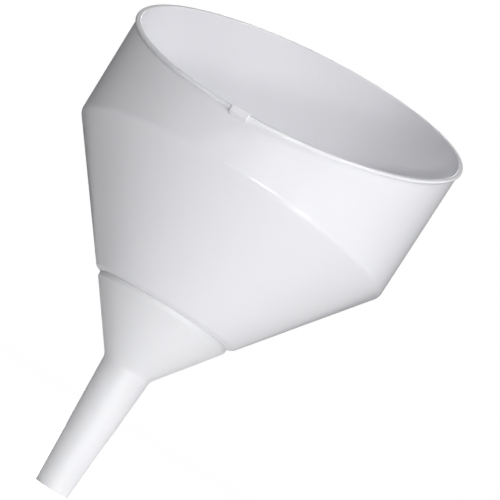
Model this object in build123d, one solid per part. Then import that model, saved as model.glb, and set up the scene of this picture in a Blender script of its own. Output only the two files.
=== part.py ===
from build123d import *
from math import cos, hypot, radians, sin, tan
import os

# A splash-guard funnel in four pieces: the hopper, the spout that its neck plugs
# into, and a strainer (frame and screen) that rests on a seat inside the hopper.
# All sizes are in millimetres. The origin is the centre of the spout's tip and
# +Z runs up the funnel's axis. YZ is the mirror plane: the mouth is lowest at -Y.

# Driving dimensions: hopper
CREASE_R = 100.0        # outside radius where the collar meets the main cone
COLLAR_DRAFT = 1.8      # degrees that the collar opens towards the mouth
MOUTH_HEIGHT = 81.5     # mouth plane above the crease, measured on the axis
MOUTH_TILT = 28.0       # degrees from level
CONE_HEIGHT = 69.3      # crease down to the main cone's lower edge
CREASE_ROUND = 5.0      # outside rounding of the crease
WALL = 1.8
LIP_OUT = 1.2           # rim lip, outwards from the collar
LIP_HEIGHT = 1.8
LIP_ROUND = 0.6
LUG_WIDTH = 10.5
LUG_OUT = 4.0           # outwards from the collar at the mouth plane
LUG_FACE = 3.6          # height of the lug's outer face
LUG_HEIGHT = 4.8        # the slanted underside included
LUG_ROUND = 0.6

# Driving dimensions: step, neck and strainer seat
BAND_R = 42.0           # outside radius of the spout's band
STEP_OUT = 3.8          # main cone's lower edge stands this far outside the band
STEP_DROP = 1.7         # height of the sloping underside between that edge and the band
NECK_WALL = 1.5
NECK_GAP = 0.3          # between the neck and the inside of the spout
SKIRT_DEPTH = 9.0       # the neck's reach below the step
EDGE_ROUND = 0.4        # small outside edges of the step, the seat and the tip

# Driving dimensions: spout
BAND_HEIGHT = 2.9
BAND_DRAFT = 0.2        # the band's radius is this much smaller at its lower edge
BAND_ROUND = 1.5        # outside rounding where the band meets the lower cone
LOWER_CONE_HEIGHT = 35.4
TUBE_TOP_R = 14.9
TUBE_LENGTH = 78.0
TIP_R = 10.3
SPOUT_WALL = 1.6
TUBE_ROUND = 6.0        # outside rounding where the lower cone meets the tube

# Driving dimensions: strainer
FRAME_GAP = 0.6         # between the frame and the hopper's wall at the seat
FRAME_WIDTH = 4.2
FRAME_HEIGHT = 2.6
BAR_WIDTH = 2.0
BAR_HEIGHT = 1.2
SCREEN_THICKNESS = 0.5
SCREEN_EMBED = 1.6      # how far the screen runs into the frame
TAB_WIDTH = 14.0
TAB_THICKNESS = 2.2
TAB_HEIGHT = 15.0       # above the frame
TAB_ROUND = 5.0


def inside(low, high, wall):
    """The line one wall inside the skin from low to high: its radius at height 0 and its slope."""
    lean = (high[0] - low[0]) / (high[1] - low[1])
    return low[0] - lean * low[1] - wall * hypot(1, lean), lean


def radius_at(line, height):
    return line[0] + line[1] * height


def height_at(line, radius):
    return (radius - line[0]) / line[1]


def meet(line_a, line_b):
    """The (radius, height) point where two such lines cross."""
    height = (line_b[0] - line_a[0]) / (line_a[1] - line_b[1])
    return radius_at(line_a, height), height


def turned_wall(skin, skin_rounds, lining, lining_rounds):
    """A round wall between a skin drawn bottom to top and a lining drawn top to bottom."""
    with BuildSketch(Plane.XZ) as section:
        with BuildLine():
            outer = FilletPolyline(*skin, radius=skin_rounds)
            inner = FilletPolyline(*lining, radius=lining_rounds)
            Line(outer @ 1, inner @ 0)
            Line(inner @ 1, outer @ 0)
        make_face()
    return revolve(section.sketch, axis=Axis.Z)


# Heights up the axis
cone_foot = TUBE_LENGTH
band_foot = cone_foot + LOWER_CONE_HEIGHT
step_face = band_foot + BAND_HEIGHT
cone_edge = step_face + STEP_DROP
crease = cone_edge + CONE_HEIGHT
mouth_on_axis = crease + MOUTH_HEIGHT
seat = cone_edge + WALL / 2
skirt_end = step_face - SKIRT_DEPTH

# Corners of the outside skin, as (radius, height)
mouth_rise = tan(radians(MOUTH_TILT))
collar_lean = tan(radians(COLLAR_DRAFT))
collar_top = mouth_on_axis + 1.3 * CREASE_R * mouth_rise
skin_tip = (TIP_R, 0)
skin_tube_top = (TUBE_TOP_R, cone_foot)
skin_band_foot = (BAND_R - BAND_DRAFT, band_foot)
skin_band_top = (BAND_R, step_face)
skin_edge = (BAND_R + STEP_OUT, cone_edge)
skin_crease = (CREASE_R, crease)
skin_top = (CREASE_R + collar_lean * (collar_top - crease), collar_top)

# Lines inside the skin
collar_lining = inside(skin_crease, skin_top, WALL)
cone_lining = inside(skin_edge, skin_crease, WALL)
tube_lining = inside(skin_tip, skin_tube_top, SPOUT_WALL)
lower_lining = inside(skin_tube_top, skin_band_foot, SPOUT_WALL)
skirt_skin = inside(skin_tube_top, skin_band_foot, SPOUT_WALL + NECK_GAP)
skirt_lining = inside(skin_tube_top, skin_band_foot, SPOUT_WALL + NECK_GAP + NECK_WALL)

# Radii of the straight fits
sleeve_r = BAND_R - BAND_DRAFT - SPOUT_WALL
neck_r = sleeve_r - NECK_GAP
bore_r = neck_r - NECK_WALL
seat_r = radius_at(cone_lining, seat)
frame_r = seat_r - FRAME_GAP
frame_bore_r = frame_r - FRAME_WIDTH

# The mouth plane, facing out of the funnel
mouth = Plane(origin=(0, 0, mouth_on_axis), x_dir=(1, 0, 0),
              z_dir=(0, -sin(radians(MOUTH_TILT)), cos(radians(MOUTH_TILT))))


def below(shape, plane):
    return split(shape, bisect_by=plane, keep=Keep.BOTTOM)


def above(shape, plane):
    return split(shape, bisect_by=plane, keep=Keep.TOP)


def make_rim_lip():
    """A narrow band round the collar, just under the mouth plane."""
    foot = crease + CREASE_ROUND
    foot_r = CREASE_R + collar_lean * CREASE_ROUND
    with BuildSketch(Plane.XZ) as section:
        Polygon((foot_r - WALL / 2, foot), (foot_r + LIP_OUT, foot),
                (skin_top[0] + LIP_OUT, collar_top), (skin_top[0] - WALL / 2, collar_top),
                align=None)
    band = revolve(section.sketch, axis=Axis.Z)
    return above(below(band, mouth), mouth.offset(-LIP_HEIGHT))


def make_lug():
    """A small block with a level top at the lowest point of the mouth, slanted underneath."""
    rim_y = -(CREASE_R + collar_lean * MOUTH_HEIGHT) / (1 + collar_lean * mouth_rise)
    root_y = rim_y + WALL / 2
    face_y = rim_y - LUG_OUT
    top = mouth_on_axis + mouth_rise * rim_y
    with BuildSketch(Plane.YZ) as section:
        Polygon((root_y, top), (face_y, top), (face_y, top - LUG_FACE),
                (root_y, top - LUG_HEIGHT), align=None)
    lug = extrude(section.sketch, amount=LUG_WIDTH / 2, both=True)
    return fillet(lug.edges().filter_by_position(Axis.Y, face_y - 0.1, face_y + 0.1), LUG_ROUND)


def make_hopper():
    wall = turned_wall(
        [(radius_at(skirt_skin, skirt_end), skirt_end), (neck_r, height_at(skirt_skin, neck_r)),
         (neck_r, step_face), skin_band_top, skin_edge, skin_crease, skin_top],
        [EDGE_ROUND, EDGE_ROUND, EDGE_ROUND, EDGE_ROUND, CREASE_ROUND],
        [(radius_at(collar_lining, collar_top), collar_top), meet(collar_lining, cone_lining),
         (seat_r, seat), (bore_r, seat), (bore_r, height_at(skirt_lining, bore_r)),
         (radius_at(skirt_lining, skirt_end), skirt_end)],
        [CREASE_ROUND - WALL, EDGE_ROUND, EDGE_ROUND, EDGE_ROUND])
    body = below(wall, mouth) + make_rim_lip()
    rim = body.faces().sort_by(Axis(mouth.origin, mouth.z_dir))[-1]
    return fillet(rim.edges(), LIP_ROUND) + make_lug()


def make_spout():
    wall = turned_wall(
        [skin_tip, skin_tube_top, skin_band_foot, skin_band_top],
        [TUBE_ROUND, BAND_ROUND],
        [(sleeve_r, step_face), (sleeve_r, height_at(lower_lining, sleeve_r)),
         meet(lower_lining, tube_lining), (radius_at(tube_lining, 0), 0)],
        [EDGE_ROUND, TUBE_ROUND + SPOUT_WALL])
    ends = wall.faces().filter_by(GeomType.PLANE)
    return fillet(ends.edges(), EDGE_ROUND)


def make_screen():
    radius = frame_bore_r + SCREEN_EMBED
    return Pos(0, 0, seat + BAR_HEIGHT) * extrude(Circle(radius), amount=SCREEN_THICKNESS)


def make_pull_tab():
    """A flat upright tab with round top corners, standing on the frame at the back."""
    place = Plane(origin=(0, frame_bore_r + (FRAME_WIDTH + TAB_THICKNESS) / 2, seat + FRAME_HEIGHT / 2),
                  x_dir=(1, 0, 0), z_dir=(0, -1, 0))
    height = TAB_HEIGHT + FRAME_HEIGHT / 2
    with BuildSketch(place) as outline:
        Rectangle(TAB_WIDTH, height, align=(Align.CENTER, Align.MIN))
        fillet(outline.vertices().sort_by(Axis.Z)[-2:], TAB_ROUND)
    return extrude(outline.sketch, amount=TAB_THICKNESS)


def make_strainer_frame(screen):
    with BuildSketch(Plane.XZ) as section:
        with Locations((frame_r, seat)):
            RectangleRounded(FRAME_WIDTH, FRAME_HEIGHT, EDGE_ROUND, align=(Align.MAX, Align.MIN))
    frame = revolve(section.sketch, axis=Axis.Z)
    span = 2 * frame_bore_r + FRAME_WIDTH / 2
    for turn in (0, 90):
        bar = Box(span, BAR_WIDTH, BAR_HEIGHT, align=(Align.CENTER, Align.CENTER, Align.MIN))
        frame += Pos(0, 0, seat) * Rot(0, 0, turn) * bar
    return frame + make_pull_tab() - screen


screen = make_screen()
pieces = {
    "hopper": make_hopper(),
    "spout": make_spout(),
    "strainer_frame": make_strainer_frame(screen),
    "strainer_screen": screen,
}

os.makedirs("parts", exist_ok=True)
for name, piece in pieces.items():
    piece.label = name
    export_step(piece, f"parts/{name}.step")
    print(f"{name}: {len(piece.solids())} solid, {piece.volume / 1000:.2f} cm3")
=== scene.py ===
# %% [markdown]
# # A splash-guard funnel, step by step
# The funnel has four parts: a hopper, the spout that its neck plugs into, and a
# strainer made of a moulded ring and a woven screen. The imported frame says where
# each one is and how it moves, so every piece below is drawn straight into that
# frame, in metres, and then told which body it rides on.

# %% Load the frame
import math

import bmesh
import bpy
from mathutils import Matrix, Quaternion, Vector


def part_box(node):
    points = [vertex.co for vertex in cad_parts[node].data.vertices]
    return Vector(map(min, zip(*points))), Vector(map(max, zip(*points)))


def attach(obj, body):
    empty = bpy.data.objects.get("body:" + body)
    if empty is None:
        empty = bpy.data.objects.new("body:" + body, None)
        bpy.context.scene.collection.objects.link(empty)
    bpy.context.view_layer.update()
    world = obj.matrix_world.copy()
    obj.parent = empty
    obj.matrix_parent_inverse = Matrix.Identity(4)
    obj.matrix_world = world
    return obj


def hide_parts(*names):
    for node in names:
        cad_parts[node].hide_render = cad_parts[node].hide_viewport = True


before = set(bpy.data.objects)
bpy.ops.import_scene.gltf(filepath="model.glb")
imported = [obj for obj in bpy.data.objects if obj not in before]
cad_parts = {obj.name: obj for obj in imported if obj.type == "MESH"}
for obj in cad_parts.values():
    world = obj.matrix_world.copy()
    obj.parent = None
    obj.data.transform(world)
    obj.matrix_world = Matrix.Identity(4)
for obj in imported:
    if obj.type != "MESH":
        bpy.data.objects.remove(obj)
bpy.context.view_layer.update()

# %% [markdown]
# ## Sizes
# Heights are read from the frame's boxes, because the frame knows where each
# piece starts and stops. Radii, walls and roundings can't be read from a box, so
# they are named here in millimetres, as a mould maker's drawing would give them.

# %% Sizes of the mouldings
MM = 0.001

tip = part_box("spout")[0].z
step_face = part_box("spout")[1].z
skirt_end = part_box("hopper")[0].z
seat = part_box("strainer_frame")[0].z
tab_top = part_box("strainer_frame")[1].z
screen_low, screen_high = (corner.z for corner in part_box("strainer_screen"))

CREASE_R = 100 * MM
CREASE_ROUND = 5 * MM
CONE_HEIGHT = 69.3 * MM
COLLAR_LEAN = math.tan(math.radians(1.8))
MOUTH_HEIGHT = 81.5 * MM
MOUTH_RISE = math.tan(math.radians(28))
WALL = 1.8 * MM
LIP_OUT = 1.2 * MM
LIP_HEIGHT = 1.8 * MM
LIP_ROUND = 0.6 * MM
LUG_WIDTH = 10.5 * MM
LUG_OUT = 4 * MM
LUG_FACE = 3.6 * MM
LUG_HEIGHT = 4.8 * MM
LUG_ROUND = 0.6 * MM

BAND_R = 42 * MM
BAND_DRAFT = 0.2 * MM
BAND_HEIGHT = 2.9 * MM
BAND_ROUND = 1.5 * MM
STEP_OUT = 3.8 * MM
STEP_DROP = 1.7 * MM
NECK_WALL = 1.5 * MM
NECK_GAP = 0.3 * MM
EDGE_ROUND = 0.4 * MM
SPOUT_WALL = 1.6 * MM
TIP_R = 10.3 * MM
TUBE_TOP_R = 14.9 * MM
TUBE_LENGTH = 78 * MM
TUBE_ROUND = 6 * MM

FRAME_GAP = 0.6 * MM
FRAME_WIDTH = 4.2 * MM
FRAME_HEIGHT = 2.6 * MM
BAR_WIDTH = 2 * MM
BAR_ROUND = 0.2 * MM
TAB_WIDTH = 14 * MM
TAB_THICKNESS = 2.2 * MM
TAB_ROUND = 5 * MM
TAB_EDGE_ROUND = 0.5 * MM

cone_edge = step_face + STEP_DROP
crease = cone_edge + CONE_HEIGHT
mouth_on_axis = crease + MOUTH_HEIGHT
band_foot = step_face - BAND_HEIGHT
print(f"crease {crease / MM:.1f} mm above the tip, mouth on the axis {mouth_on_axis / MM:.1f} mm")

# %% [markdown]
# ## Walls of even thickness
# A moulded funnel has one wall thickness, so its lining is the same chain of
# cones as its skin, moved in by the wall. A cone seen from the side is a straight
# line, so each lining is worked out as a line: its radius on the floor and how
# fast that grows with height. Where two linings meet, their lines cross.

# %% Lines for the lining
SPARE_COLLAR = 1.3  # height of the uncut collar above the mouth's middle, in mouth rises


def lining(low, high, wall):
    """Radius at height 0, and lean, of the line one wall inside the skin from low to high."""
    lean = (high[0] - low[0]) / (high[1] - low[1])
    return low[0] - lean * low[1] - wall * math.hypot(1, lean), lean


def radius_at(line, height):
    return line[0] + line[1] * height


def height_at(line, radius):
    return (radius - line[0]) / line[1]


def meet(line_a, line_b):
    height = (line_b[0] - line_a[0]) / (line_a[1] - line_b[1])
    return radius_at(line_a, height), height


collar_top = mouth_on_axis + SPARE_COLLAR * CREASE_R * MOUTH_RISE
skin_tip = (TIP_R, tip)
skin_tube_top = (TUBE_TOP_R, TUBE_LENGTH)
skin_band_foot = (BAND_R - BAND_DRAFT, band_foot)
skin_band_top = (BAND_R, step_face)
skin_edge = (BAND_R + STEP_OUT, cone_edge)
skin_crease = (CREASE_R, crease)
skin_top = (CREASE_R + COLLAR_LEAN * (collar_top - crease), collar_top)

collar_lining = lining(skin_crease, skin_top, WALL)
cone_lining = lining(skin_edge, skin_crease, WALL)
tube_lining = lining(skin_tip, skin_tube_top, SPOUT_WALL)
lower_lining = lining(skin_tube_top, skin_band_foot, SPOUT_WALL)
skirt_skin = lining(skin_tube_top, skin_band_foot, SPOUT_WALL + NECK_GAP)
skirt_lining = lining(skin_tube_top, skin_band_foot, SPOUT_WALL + NECK_GAP + NECK_WALL)

sleeve_r = BAND_R - BAND_DRAFT - SPOUT_WALL
neck_r = sleeve_r - NECK_GAP
bore_r = neck_r - NECK_WALL
seat_r = radius_at(cone_lining, seat)
frame_r = seat_r - FRAME_GAP
frame_bore_r = frame_r - FRAME_WIDTH
print(f"neck bore {2 * bore_r / MM:.1f} mm, strainer {2 * frame_r / MM:.1f} mm across")

# %% [markdown]
# ## Colours and nodes
# Colours are picked as sRGB hex, the way a paint chart gives them, but Blender
# mixes light in linear values, so one function converts them. Two more small
# functions add a node and start a material, so that each material below reads as
# a short recipe.

# %% Colour and node helpers
def linear(hex_colour):
    """An sRGB hex colour as the linear RGBA that a shader takes."""
    def channel(value):
        return value / 12.92 if value <= 0.04045 else ((value + 0.055) / 1.055) ** 2.4
    parts = [int(hex_colour[i:i + 2], 16) / 255 for i in (1, 3, 5)]
    return (*(channel(part) for part in parts), 1.0)


def add_node(tree, kind, inputs=None, **settings):
    """A new node with its settings, and each input either linked or set."""
    node = tree.nodes.new(kind)
    for setting, value in settings.items():
        setattr(node, setting, value)
    for socket, value in (inputs or {}).items():
        if isinstance(value, bpy.types.NodeSocket):
            tree.links.new(value, node.inputs[socket])
        else:
            node.inputs[socket].default_value = value
    return node


def new_material(title):
    """A new material, and its node tree emptied."""
    material = bpy.data.materials.new(title)
    material.use_nodes = True
    material.node_tree.nodes.clear()
    return material, material.node_tree

# %% [markdown]
# ## Moulded polypropylene
# The funnel is white polypropylene, injection moulded in a polished steel mould.
# White pigment makes the wall milky rather than clear: light goes a millimetre or
# two into it, which softens its shadows, so some of the colour is subsurface. The
# skin is satin, not mirror-like: a fine grain breaks the highlights up, and the
# wall is never perfectly even, because it shrinks as it cools, so there is also a
# slow ripple some centimetres long. The real grain is about a tenth of a
# millimetre, too fine to show here, so it is drawn ten times as coarse.

# %% Moulded polypropylene
GRAIN = 1.0 * MM
GRAIN_DEPTH = 0.05 * MM
GRAIN_STRENGTH = 0.12
RIPPLE = 35 * MM
RIPPLE_DEPTH = 0.6 * MM
RIPPLE_STRENGTH = 0.25
CLOUD = 60 * MM
CLOUD_LOW, CLOUD_HIGH = 0.3, 0.7
SHINIER, DULLER = 0.03, 0.04
PLASTIC_IOR = 1.49
LIGHT_DEPTH = 1.5 * MM
DEPTH_BY_COLOUR = (1.0, 0.95, 0.9)


def moulded_polypropylene(title, pale, deep, roughness, milkiness=0.25):
    """Satin white plastic: two close whites in clouds, a slow ripple, a fine grain."""
    material, tree = new_material(title)
    place = add_node(tree, "ShaderNodeTexCoord").outputs["Object"]
    cloud = add_node(tree, "ShaderNodeTexNoise", {
        "Vector": place, "Scale": 1 / CLOUD, "Detail": 3.0, "Roughness": 0.5})
    tone = add_node(tree, "ShaderNodeMix", {
        0: cloud.outputs["Fac"], 6: linear(deep), 7: linear(pale)}, data_type="RGBA")
    grain = add_node(tree, "ShaderNodeTexNoise", {
        "Vector": place, "Scale": 1 / GRAIN, "Detail": 2.0, "Roughness": 0.6})
    ripple = add_node(tree, "ShaderNodeTexNoise", {
        "Vector": place, "Scale": 1 / RIPPLE, "Detail": 1.0, "Roughness": 0.4})
    polish = add_node(tree, "ShaderNodeMapRange", {
        "Value": cloud.outputs["Fac"], "From Min": CLOUD_LOW, "From Max": CLOUD_HIGH,
        "To Min": roughness - SHINIER, "To Max": roughness + DULLER})
    slow = add_node(tree, "ShaderNodeBump", {
        "Height": ripple.outputs["Fac"], "Strength": RIPPLE_STRENGTH, "Distance": RIPPLE_DEPTH})
    fine = add_node(tree, "ShaderNodeBump", {
        "Height": grain.outputs["Fac"], "Normal": slow.outputs["Normal"],
        "Strength": GRAIN_STRENGTH, "Distance": GRAIN_DEPTH})
    plastic = add_node(tree, "ShaderNodeBsdfPrincipled", {
        "Base Color": tone.outputs[2], "Roughness": polish.outputs["Result"],
        "Normal": fine.outputs["Normal"], "IOR": PLASTIC_IOR,
        "Subsurface Weight": milkiness, "Subsurface Radius": DEPTH_BY_COLOUR,
        "Subsurface Scale": LIGHT_DEPTH})
    add_node(tree, "ShaderNodeOutputMaterial", {"Surface": plastic.outputs["BSDF"]})
    return material


hopper_plastic = moulded_polypropylene(
    "White moulded polypropylene, hopper", pale="#EFEFF3", deep="#EBEBEF", roughness=0.23)
spout_plastic = moulded_polypropylene(
    "White moulded polypropylene, spout", pale="#F2F2F5", deep="#EEEEF1", roughness=0.46,
    milkiness=0.6)
strainer_plastic = moulded_polypropylene(
    "White moulded polypropylene, strainer", pale="#EEEEF1", deep="#E9E9EC", roughness=0.4)
print("plastics:", hopper_plastic.name, "|", spout_plastic.name, "|", strainer_plastic.name)

# %% [markdown]
# ## Stainless steel wire
# The screen is woven from drawn stainless wire. Drawing leaves it bright, with
# fine scratches along its length, and weaving dulls it a little where wires rub.
# The scratches are hundredths of a millimetre wide, so they are left to the
# roughness, and only the slow change in polish is drawn.

# %% Stainless steel wire
RUBBED_PATCH = 4 * MM
WIRE_BRIGHT, WIRE_DULL = 0.22, 0.38


def drawn_stainless_wire(title):
    """Bare steel whose polish changes slowly where the wires rub."""
    material, tree = new_material(title)
    place = add_node(tree, "ShaderNodeTexCoord").outputs["Object"]
    rubbed = add_node(tree, "ShaderNodeTexNoise", {
        "Vector": place, "Scale": 1 / RUBBED_PATCH, "Detail": 2.0})
    polish = add_node(tree, "ShaderNodeMapRange", {
        "Value": rubbed.outputs["Fac"], "To Min": WIRE_BRIGHT, "To Max": WIRE_DULL})
    steel = add_node(tree, "ShaderNodeBsdfPrincipled", {
        "Base Color": linear("#C6C7CA"), "Metallic": 1.0,
        "Roughness": polish.outputs["Result"]})
    add_node(tree, "ShaderNodeOutputMaterial", {"Surface": steel.outputs["BSDF"]})
    return material


screen_steel = drawn_stainless_wire("Drawn stainless steel wire")
print("metal:", screen_steel.name)

# %% [markdown]
# ## Turning a profile
# Each round moulding is a wall with a closed outline. The outline could be swept
# by a Screw modifier, but then the slanted mouth couldn't be cut afterwards in
# mesh code, so it is spun as a bmesh. Corners are rounded first, on the outline,
# where each one takes its own radius: a vertex bevel runs back along both edges
# by the radius times the tangent of half the turn.

# %% Profile and spin helpers
STEPS = 240
ROW = 9 * MM
WELD = 1e-7
CORNER_SEGMENTS = 6
EDGE_SEGMENTS = 3
SHARP_FOR_SHADING = math.radians(35)


def corner_reach(before, corner, after, radius):
    """How far an arc of this radius reaches back along the two edges at a corner."""
    turn = (corner - before).angle(after - corner)
    return radius * math.tan(turn / 2)


def draw_profile(points, rounds, closed):
    """A wire outline in the XZ plane, through (radius, height) points, with rounded corners."""
    mesh = bmesh.new()
    corners = [mesh.verts.new((radius, 0, height)) for radius, height in points]
    ends = corners[1:] + corners[:1] if closed else corners[1:]
    for start, end in zip(corners, ends):
        mesh.edges.new((start, end))
    places = [corner.co.copy() for corner in corners]
    for index, radius in rounds.items():
        before, after = places[index - 1], places[(index + 1) % len(places)]
        reach = corner_reach(before, places[index], after, radius)
        bmesh.ops.bevel(mesh, geom=[corners[index]], offset=reach, affect="VERTICES",
                        segments=CORNER_SEGMENTS, profile=0.5, material=-1)
    return mesh


def spin(mesh):
    """Spins a wire outline once round the axis and joins the seam."""
    bmesh.ops.spin(mesh, geom=mesh.verts[:] + mesh.edges[:], cent=(0, 0, 0), axis=(0, 0, 1),
                   angle=2 * math.pi, steps=STEPS, use_merge=True, use_duplicate=False)
    bmesh.ops.remove_doubles(mesh, verts=mesh.verts[:], dist=WELD)


def add_rows(mesh):
    """Cuts the tall faces of a spun wall into rows, so that no face is a long sliver."""
    uprights = {}
    for face in mesh.faces:
        for edge in face.edges:
            start, end = edge.verts
            if abs(start.co.z - end.co.z) > ROW:
                uprights[edge] = int(edge.calc_length() / ROW)
    bmesh.ops.subdivide_edges(mesh, edges=list(uprights), cuts=max(uprights.values()),
                              use_grid_fill=True)


def finish_piece(mesh, title, material, body, nodes=()):
    """Turns a bmesh into a smooth piece that rides on a body and stands for CAD nodes."""
    data = bpy.data.meshes.new(title)
    mesh.to_mesh(data)
    mesh.free()
    data.materials.append(material)
    data.shade_smooth()
    data.set_sharp_from_angle(angle=SHARP_FOR_SHADING)
    piece = bpy.data.objects.new(title, data)
    bpy.context.scene.collection.objects.link(piece)
    evener = piece.modifiers.new("even normals", "WEIGHTED_NORMAL")
    evener.keep_sharp = True
    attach(piece, body)
    if nodes:
        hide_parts(*nodes)
    triangles = sum(len(face.vertices) - 2 for face in data.polygons)
    print(f"{title}: {len(data.polygons)} faces, {triangles} triangles")

# %% [markdown]
# ## The hopper
# The hopper is the splash collar, main cone, step, seat and neck in one wall. Its
# outline stays open at the top: it is spun taller than the collar, and a slanted
# plane then cuts the mouth, which gives an even edge however steep the slant is.
# A second cut a lip's height below marks the lip, which is pushed out from the
# skin. Last, the two rims are bridged to close the wall, and its edges rounded.

# %% Hopper outline and slanted mouth
MOUTH_NORMAL = Vector((0, -MOUTH_RISE, 1)).normalized()
MOUTH_POINT = Vector((0, 0, mouth_on_axis))
LIP_POINT = MOUTH_POINT - LIP_HEIGHT * MOUTH_NORMAL


def make_hopper_wall():
    """The hopper's wall, cut off at the slanted mouth and still open along its rim."""
    outline = [
        (radius_at(collar_lining, collar_top), collar_top),
        meet(collar_lining, cone_lining),
        (seat_r, seat),
        (bore_r, seat),
        (bore_r, height_at(skirt_lining, bore_r)),
        (radius_at(skirt_lining, skirt_end), skirt_end),
        (radius_at(skirt_skin, skirt_end), skirt_end),
        (neck_r, height_at(skirt_skin, neck_r)),
        (neck_r, step_face),
        skin_band_top,
        skin_edge,
        skin_crease,
        skin_top,
    ]
    rounds = {1: CREASE_ROUND - WALL, 2: EDGE_ROUND, 3: EDGE_ROUND, 4: EDGE_ROUND,
              7: EDGE_ROUND, 9: EDGE_ROUND, 10: EDGE_ROUND, 11: CREASE_ROUND}
    wall = draw_profile(outline, rounds, closed=False)
    spin(wall)
    bmesh.ops.bisect_plane(wall, geom=wall.verts[:] + wall.edges[:] + wall.faces[:], dist=WELD,
                           plane_co=MOUTH_POINT, plane_no=MOUTH_NORMAL, clear_outer=True)
    return wall

# %% [markdown]
# ## The lip and the rim
# The two rims nearly share a centre, so a plain bridge would be drawn across the
# mouth instead of along the rim. The outer rim is lifted clear for the bridge and
# put back after it. Only the convex edges are rounded: the inner corner, where
# the lip's underside meets the collar, stays sharp.

# %% Lip and rim
BRIDGE_LIFT = 50 * MM
RIM_BEVEL_WIDTH = 1.8 * LIP_ROUND
RIM_SEGMENTS = 4
NEAR_LIP = 0.1 * MM
SHARP_EDGE = math.radians(60)


def on_skin_side(point):
    """True for a point of the collar that is nearer the skin than the lining."""
    return point.xy.length > CREASE_R + COLLAR_LEAN * (point.z - crease) - WALL / 2


def on_collar_skin(face):
    """True on the outside of the collar, above the crease."""
    middle = face.calc_center_median()
    return middle.z > crease + CREASE_ROUND and on_skin_side(middle)


def above_lip(point):
    """How far a point is above the plane that the lip starts from."""
    return (point - LIP_POINT).dot(MOUTH_NORMAL)


def push_out_lip(wall):
    """Marks a band under the mouth on the collar's skin and pushes it out along the slant."""
    skin = [face for face in wall.faces if on_collar_skin(face)]
    around = {part for face in skin for part in (*face.verts, *face.edges, face)}
    bmesh.ops.bisect_plane(wall, geom=list(around), dist=WELD,
                           plane_co=LIP_POINT, plane_no=MOUTH_NORMAL)
    band = [face for face in wall.faces
            if on_collar_skin(face) and above_lip(face.calc_center_median()) > 0]
    pushed = bmesh.ops.extrude_face_region(wall, geom=band)
    bmesh.ops.delete(wall, geom=band, context="FACES")
    for vert in pushed["geom"]:
        if isinstance(vert, bmesh.types.BMVert):
            outward = vert.co.xy.normalized() * LIP_OUT
            vert.co += Vector((outward.x, outward.y, MOUTH_RISE * outward.y))


def close_rim(wall):
    """Bridges the open edges at the mouth and rounds the rim's edges. Returns how many."""
    rim = [edge for edge in wall.edges if edge.is_boundary]
    outer = {vert for edge in rim for vert in edge.verts if on_skin_side(vert.co)}
    bmesh.ops.translate(wall, vec=BRIDGE_LIFT * MOUTH_NORMAL, verts=list(outer))
    bmesh.ops.bridge_loops(wall, edges=rim)
    bmesh.ops.translate(wall, vec=-BRIDGE_LIFT * MOUTH_NORMAL, verts=list(outer))
    bmesh.ops.recalc_face_normals(wall, faces=wall.faces[:])
    near_mouth = [edge for edge in wall.edges
                  if all(above_lip(vert.co) > -NEAR_LIP for vert in edge.verts)]
    sharp = [edge for edge in near_mouth
             if edge.is_manifold and edge.calc_face_angle() > SHARP_EDGE and edge.is_convex]
    bmesh.ops.bevel(wall, geom=sharp, offset=RIM_BEVEL_WIDTH, offset_type="WIDTH",
                    affect="EDGES", segments=RIM_SEGMENTS, profile=0.5, material=-1,
                    clamp_overlap=True)
    return len(sharp)


hopper_wall = make_hopper_wall()
push_out_lip(hopper_wall)
rounded = close_rim(hopper_wall)
add_rows(hopper_wall)
open_edges = sum(not edge.is_manifold for edge in hopper_wall.edges)
print(f"rim: {rounded} edges rounded, {open_edges} open edges left")
finish_piece(hopper_wall, "hopper_wall", hopper_plastic, "hopper", ["hopper"])

# %% [markdown]
# ## The lug
# A small block stands on the rim at the lowest point of the mouth. Its top is
# level, so it rises a little above the slanted mouth, and its underside slants
# back to the wall, which lets the moulding leave its mould. It is a cube with its
# corners moved there, and its outer edges bevelled.

# %% Lug
def make_lug():
    """A level-topped block, let half a wall into the rim, and taller at its root."""
    rim_y = -(CREASE_R + COLLAR_LEAN * MOUTH_HEIGHT) / (1 + COLLAR_LEAN * MOUTH_RISE)
    top = mouth_on_axis + MOUTH_RISE * rim_y
    block = bmesh.new()
    bmesh.ops.create_cube(block, size=1)
    for vert in block.verts:
        at_top, at_root = vert.co.z > 0, vert.co.y > 0
        depth = LUG_HEIGHT if at_root else LUG_FACE
        vert.co = (vert.co.x * LUG_WIDTH,
                   rim_y + WALL / 2 if at_root else rim_y - LUG_OUT,
                   top if at_top else top - depth)
    outer = [edge for edge in block.edges if any(vert.co.y < rim_y for vert in edge.verts)]
    bmesh.ops.bevel(block, geom=outer, offset=LUG_ROUND, affect="EDGES",
                    segments=EDGE_SEGMENTS, profile=0.5, material=-1)
    bmesh.ops.recalc_face_normals(block, faces=block.faces[:])
    return block


finish_piece(make_lug(), "hopper_lug", hopper_plastic, "hopper")

# %% [markdown]
# ## The spout
# The spout is one closed outline, band, lower cone and tube, spun once round. The
# band's lower corner has a larger rounding than the other edges, because that
# corner is what catches the light just under the step.

# %% Spout
def make_spout():
    """The spout's wall: one closed outline, spun."""
    outline = [
        skin_tip,
        skin_tube_top,
        skin_band_foot,
        skin_band_top,
        (sleeve_r, step_face),
        (sleeve_r, height_at(lower_lining, sleeve_r)),
        meet(lower_lining, tube_lining),
        (radius_at(tube_lining, tip), tip),
    ]
    rounds = {0: EDGE_ROUND, 1: TUBE_ROUND, 2: BAND_ROUND, 3: EDGE_ROUND, 4: EDGE_ROUND,
              5: EDGE_ROUND, 6: TUBE_ROUND + SPOUT_WALL, 7: EDGE_ROUND}
    wall = draw_profile(outline, rounds, closed=True)
    spin(wall)
    add_rows(wall)
    bmesh.ops.recalc_face_normals(wall, faces=wall.faces[:])
    return wall


finish_piece(make_spout(), "spout_wall", spout_plastic, "spout", ["spout"])

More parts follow.
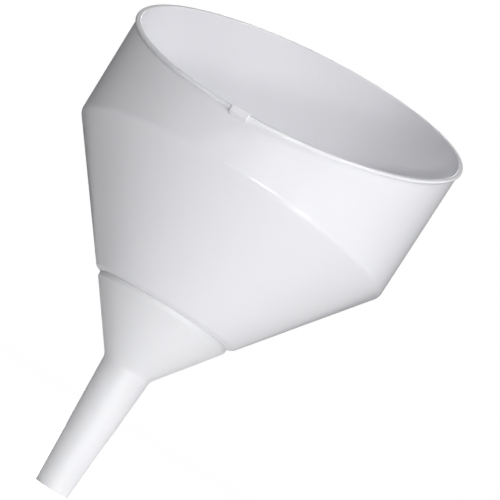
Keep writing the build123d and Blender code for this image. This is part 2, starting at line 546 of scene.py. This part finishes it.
# %% [markdown]
# ## The strainer
# The strainer is a moulded ring with two crossed bars under its screen and a tab
# to lift it by. The ring is spun from a small rounded rectangle. The bars are
# thin blocks whose ends sink into the ring, and the tab is a flat plate whose two
# top corners are rounded before it is given its thickness.

# %% Strainer ring, bars and tab
BAR_SEGMENTS = 2
TAB_SEGMENTS = 8


def make_ring():
    """The ring that rests on the seat, with all four edges rounded."""
    outline = [(frame_bore_r, seat), (frame_r, seat),
               (frame_r, seat + FRAME_HEIGHT), (frame_bore_r, seat + FRAME_HEIGHT)]
    ring = draw_profile(outline, {index: EDGE_ROUND for index in range(4)}, closed=True)
    spin(ring)
    bmesh.ops.recalc_face_normals(ring, faces=ring.faces[:])
    return ring


def make_bars():
    """Two crossed bars under the screen, their ends sunk a little into the ring."""
    bars = bmesh.new()
    height = screen_low - seat
    span = 2 * frame_bore_r + FRAME_WIDTH / 2
    for turn in (0, math.pi / 2):
        bar = bmesh.ops.create_cube(bars, size=1)["verts"]
        bmesh.ops.scale(bars, vec=(span, BAR_WIDTH, height), verts=bar)
        bmesh.ops.translate(bars, vec=(0, 0, seat + height / 2), verts=bar)
        bmesh.ops.rotate(bars, cent=(0, 0, 0), matrix=Matrix.Rotation(turn, 3, "Z"), verts=bar)
    bmesh.ops.bevel(bars, geom=bars.edges[:], offset=BAR_ROUND, affect="EDGES",
                    segments=BAR_SEGMENTS, profile=0.5, material=-1)
    return bars


def make_tab():
    """An upright plate on the ring, its two top corners rounded."""
    back = frame_bore_r + (FRAME_WIDTH + TAB_THICKNESS) / 2
    foot = seat + FRAME_HEIGHT / 2
    side = TAB_WIDTH / 2
    tab = bmesh.new()
    corners = [tab.verts.new((x, back, z)) for x, z in (
        (-side, foot), (side, foot), (side, tab_top), (-side, tab_top))]
    tab.faces.new(corners)
    bmesh.ops.bevel(tab, geom=corners[2:], offset=TAB_ROUND, affect="VERTICES",
                    segments=TAB_SEGMENTS, profile=0.5, material=-1)
    thick = bmesh.ops.extrude_face_region(tab, geom=tab.faces[:])
    front = [part for part in thick["geom"] if isinstance(part, bmesh.types.BMVert)]
    bmesh.ops.translate(tab, vec=(0, -TAB_THICKNESS, 0), verts=front)
    bmesh.ops.recalc_face_normals(tab, faces=tab.faces[:])
    edges = [edge for edge in tab.edges if edge.calc_face_angle() > SHARP_EDGE]
    bmesh.ops.bevel(tab, geom=edges, offset=TAB_EDGE_ROUND, affect="EDGES",
                    segments=EDGE_SEGMENTS, profile=0.5, material=-1)
    return tab


finish_piece(make_ring(), "strainer_ring", strainer_plastic, "strainer",
             ["strainer_frame"])
finish_piece(make_bars(), "strainer_bars", strainer_plastic, "strainer")
finish_piece(make_tab(), "strainer_tab", strainer_plastic, "strainer")

# %% [markdown]
# ## The woven screen
# Wire cloth is a plain weave: each wire goes over one crossing wire and under the
# next. A flat disc with a bump pattern would close the holes, so the wires are
# real: each is a spline that rises and falls as it crosses, and a round bevel
# gives it its thickness. Real cloth of this kind has about 1 mm between wires;
# it is drawn at 1.6 mm, so that the weave shows and the piece stays light.

# %% Woven screen
WIRE_PITCH = 1.6 * MM
WIRE_R = 0.16 * MM
WIRE_CLEARANCE = 1.02
SCREEN_GRIP = 1.2 * MM
SCREEN_R = frame_bore_r + SCREEN_GRIP
POINTS_PER_PITCH = 2


def weave_wires():
    """One curve holding every wire of the cloth, running both ways."""
    cloth = bpy.data.curves.new("woven wires", "CURVE")
    cloth.dimensions = "3D"
    cloth.bevel_depth = WIRE_R
    cloth.bevel_resolution = 0
    cloth.use_fill_caps = True
    middle = (screen_low + screen_high) / 2
    rise = WIRE_R * WIRE_CLEARANCE
    rows = int(SCREEN_R / WIRE_PITCH)
    for across in (False, True):
        for row in range(-rows, rows + 1):
            side = row * WIRE_PITCH
            reach = int(math.sqrt(SCREEN_R ** 2 - side ** 2) / WIRE_PITCH)
            if reach < 1:
                continue
            wire = cloth.splines.new("POLY")
            wire.points.add(2 * POINTS_PER_PITCH * reach)
            for index, point in enumerate(wire.points):
                along = (index / POINTS_PER_PITCH - reach) * WIRE_PITCH
                crossing = math.cos(math.pi * (along / WIRE_PITCH + row + across))
                x, y = (side, along) if across else (along, side)
                point.co = (x, y, middle + rise * crossing, 1)
    return cloth


def make_screen():
    """The wires as a mesh, made from the curve's round bevel."""
    curve = bpy.data.objects.new("wires", weave_wires())
    bpy.context.scene.collection.objects.link(curve)
    bpy.context.view_layer.update()
    graph = bpy.context.evaluated_depsgraph_get()
    data = bpy.data.meshes.new_from_object(curve.evaluated_get(graph))
    bpy.data.objects.remove(curve)
    wires = bmesh.new()
    wires.from_mesh(data)
    return wires


finish_piece(make_screen(), "strainer_wires", screen_steel, "strainer",
             ["strainer_screen"])

# %% [markdown]
# ## The floor
# The funnel is shown on plain pale paper. The paper glows a little, but only for
# rays that come from the camera: it looks as white as the wall behind it, and
# casts no more light on the funnel than matt paper would.

# %% Floor
FLOOR_GLOW = 0.96
FLOOR_HALF_SIZE = 30
PAPER_DARK, PAPER_LIGHT = 0.78, 0.82
PAPER_MOTTLES_PER_METRE = 6.0
WHITE = (1, 1, 1, 1)


def pale_floor():
    """Matt paper, with just enough glow for the camera to see it as white as the wall."""
    material, tree = new_material("Pale studio floor")
    place = add_node(tree, "ShaderNodeTexCoord").outputs["Object"]
    mottle = add_node(tree, "ShaderNodeTexNoise", {
        "Vector": place, "Scale": PAPER_MOTTLES_PER_METRE, "Detail": 2.0})
    grey = add_node(tree, "ShaderNodeMapRange", {
        "Value": mottle.outputs["Fac"], "To Min": PAPER_DARK, "To Max": PAPER_LIGHT})
    paper = add_node(tree, "ShaderNodeBsdfDiffuse", {"Color": grey.outputs["Result"]})
    ray = add_node(tree, "ShaderNodeLightPath").outputs["Is Camera Ray"]
    strength = add_node(tree, "ShaderNodeMath", {0: ray, 1: FLOOR_GLOW}, operation="MULTIPLY")
    glow = add_node(tree, "ShaderNodeEmission", {
        "Color": WHITE, "Strength": strength.outputs["Value"]})
    both = add_node(tree, "ShaderNodeAddShader", {
        0: paper.outputs["BSDF"], 1: glow.outputs["Emission"]})
    add_node(tree, "ShaderNodeOutputMaterial", {"Surface": both.outputs["Shader"]})
    return material


floor_mesh = bmesh.new()
bmesh.ops.create_grid(floor_mesh, x_segments=1, y_segments=1, size=FLOOR_HALF_SIZE)
floor_data = bpy.data.meshes.new("floor")
floor_mesh.to_mesh(floor_data)
floor_mesh.free()
floor_data.materials.append(pale_floor())
floor = bpy.data.objects.new("floor", floor_data)
bpy.context.scene.collection.objects.link(floor)

# %% [markdown]
# ## The camera
# The camera stands 0.8 m from the middle of the crease, lower than it, and
# looks slightly up. It is rolled about its own line of sight, so the upright
# funnel leans in the frame.

# %% Camera
CAMERA_AZIMUTH = 11.46
CAMERA_ELEVATION = -9.46
CAMERA_DISTANCE = 0.8008
CAMERA_ROLL = math.radians(31.94)
AIM = Vector((22.9, 4.6, -15.4)) * MM
LENS = 100.6
SENSOR_WIDTH = 36
CREASE_CENTRE = Vector((0, 0, crease))


def direction(azimuth, elevation):
    """Unit vector from the funnel: azimuth in degrees from -Y towards +X, elevation above level."""
    turn, lift = math.radians(azimuth), math.radians(elevation)
    return Vector((math.sin(turn) * math.cos(lift), -math.cos(turn) * math.cos(lift),
                   math.sin(lift)))


camera_data = bpy.data.cameras.new("camera")
camera_data.lens = LENS
camera_data.sensor_width = SENSOR_WIDTH
camera = bpy.data.objects.new("camera", camera_data)
bpy.context.scene.collection.objects.link(camera)
camera.location = CREASE_CENTRE + CAMERA_DISTANCE * direction(CAMERA_AZIMUTH, CAMERA_ELEVATION)
camera.rotation_mode = "QUATERNION"
line_of_sight = CREASE_CENTRE + AIM - camera.location
camera.rotation_quaternion = (line_of_sight.to_track_quat("-Z", "Y")
                              @ Quaternion((0, 0, 1), CAMERA_ROLL))
bpy.context.scene.camera = camera

# %% [markdown]
# ## The lights
# Seven round lamps stand about the funnel: two small low ones in front, which
# draw the bright streaks on the crease and the step, four large soft ones around
# and above, and a very small kicker, low and close. White plastic shows its shape
# by small steps of grey, so the light from all around is kept weak.

# %% Light
# name, azimuth and elevation in degrees, distance and size in metres, power in watts
LIGHTS = [
    ("low_front", 22, -6, 1.2, 0.1, 4.8),
    ("low_right", 50, -6, 1.2, 0.1, 1.7),
    ("right_above", 66, 48, 1.2, 0.4, 5.5),
    ("back_right", 130, 48, 1.2, 0.5, 2.2),
    ("back", 190, 24, 1.2, 0.5, 5.6),
    ("left_above", -46, 44, 1.2, 0.5, 3.0),
    ("kicker", 48, -21, 0.416, 0.06, 0.13),
]
SKY_STRENGTH = 0.04


def soft_light(name, azimuth, elevation, distance, size, power):
    """A round lamp that faces the middle of the crease and isn't seen itself."""
    away = direction(azimuth, elevation)
    data = bpy.data.lights.new(name, "AREA")
    data.shape = "DISK"
    data.size = size
    data.energy = power
    lamp = bpy.data.objects.new(name, data)
    lamp.location = CREASE_CENTRE + distance * away
    lamp.rotation_euler = away.to_track_quat("Z", "Y").to_euler()
    lamp.visible_camera = False
    bpy.context.scene.collection.objects.link(lamp)


def studio_world(strength):
    """White where the camera sees it, and a much dimmer white as light."""
    world = bpy.data.worlds.new("studio")
    world.use_nodes = True
    tree = world.node_tree
    tree.nodes.clear()
    seen = add_node(tree, "ShaderNodeBackground", {"Color": WHITE, "Strength": 1.0})
    light = add_node(tree, "ShaderNodeBackground", {"Color": WHITE, "Strength": strength})
    ray = add_node(tree, "ShaderNodeLightPath").outputs["Is Camera Ray"]
    mixed = add_node(tree, "ShaderNodeMixShader", {
        0: ray, 1: light.outputs["Background"], 2: seen.outputs["Background"]})
    add_node(tree, "ShaderNodeOutputWorld", {"Surface": mixed.outputs["Shader"]})
    return world


for light in LIGHTS:
    soft_light(*light)
bpy.context.scene.world = studio_world(SKY_STRENGTH)
bpy.context.scene.view_settings.view_transform = "Standard"
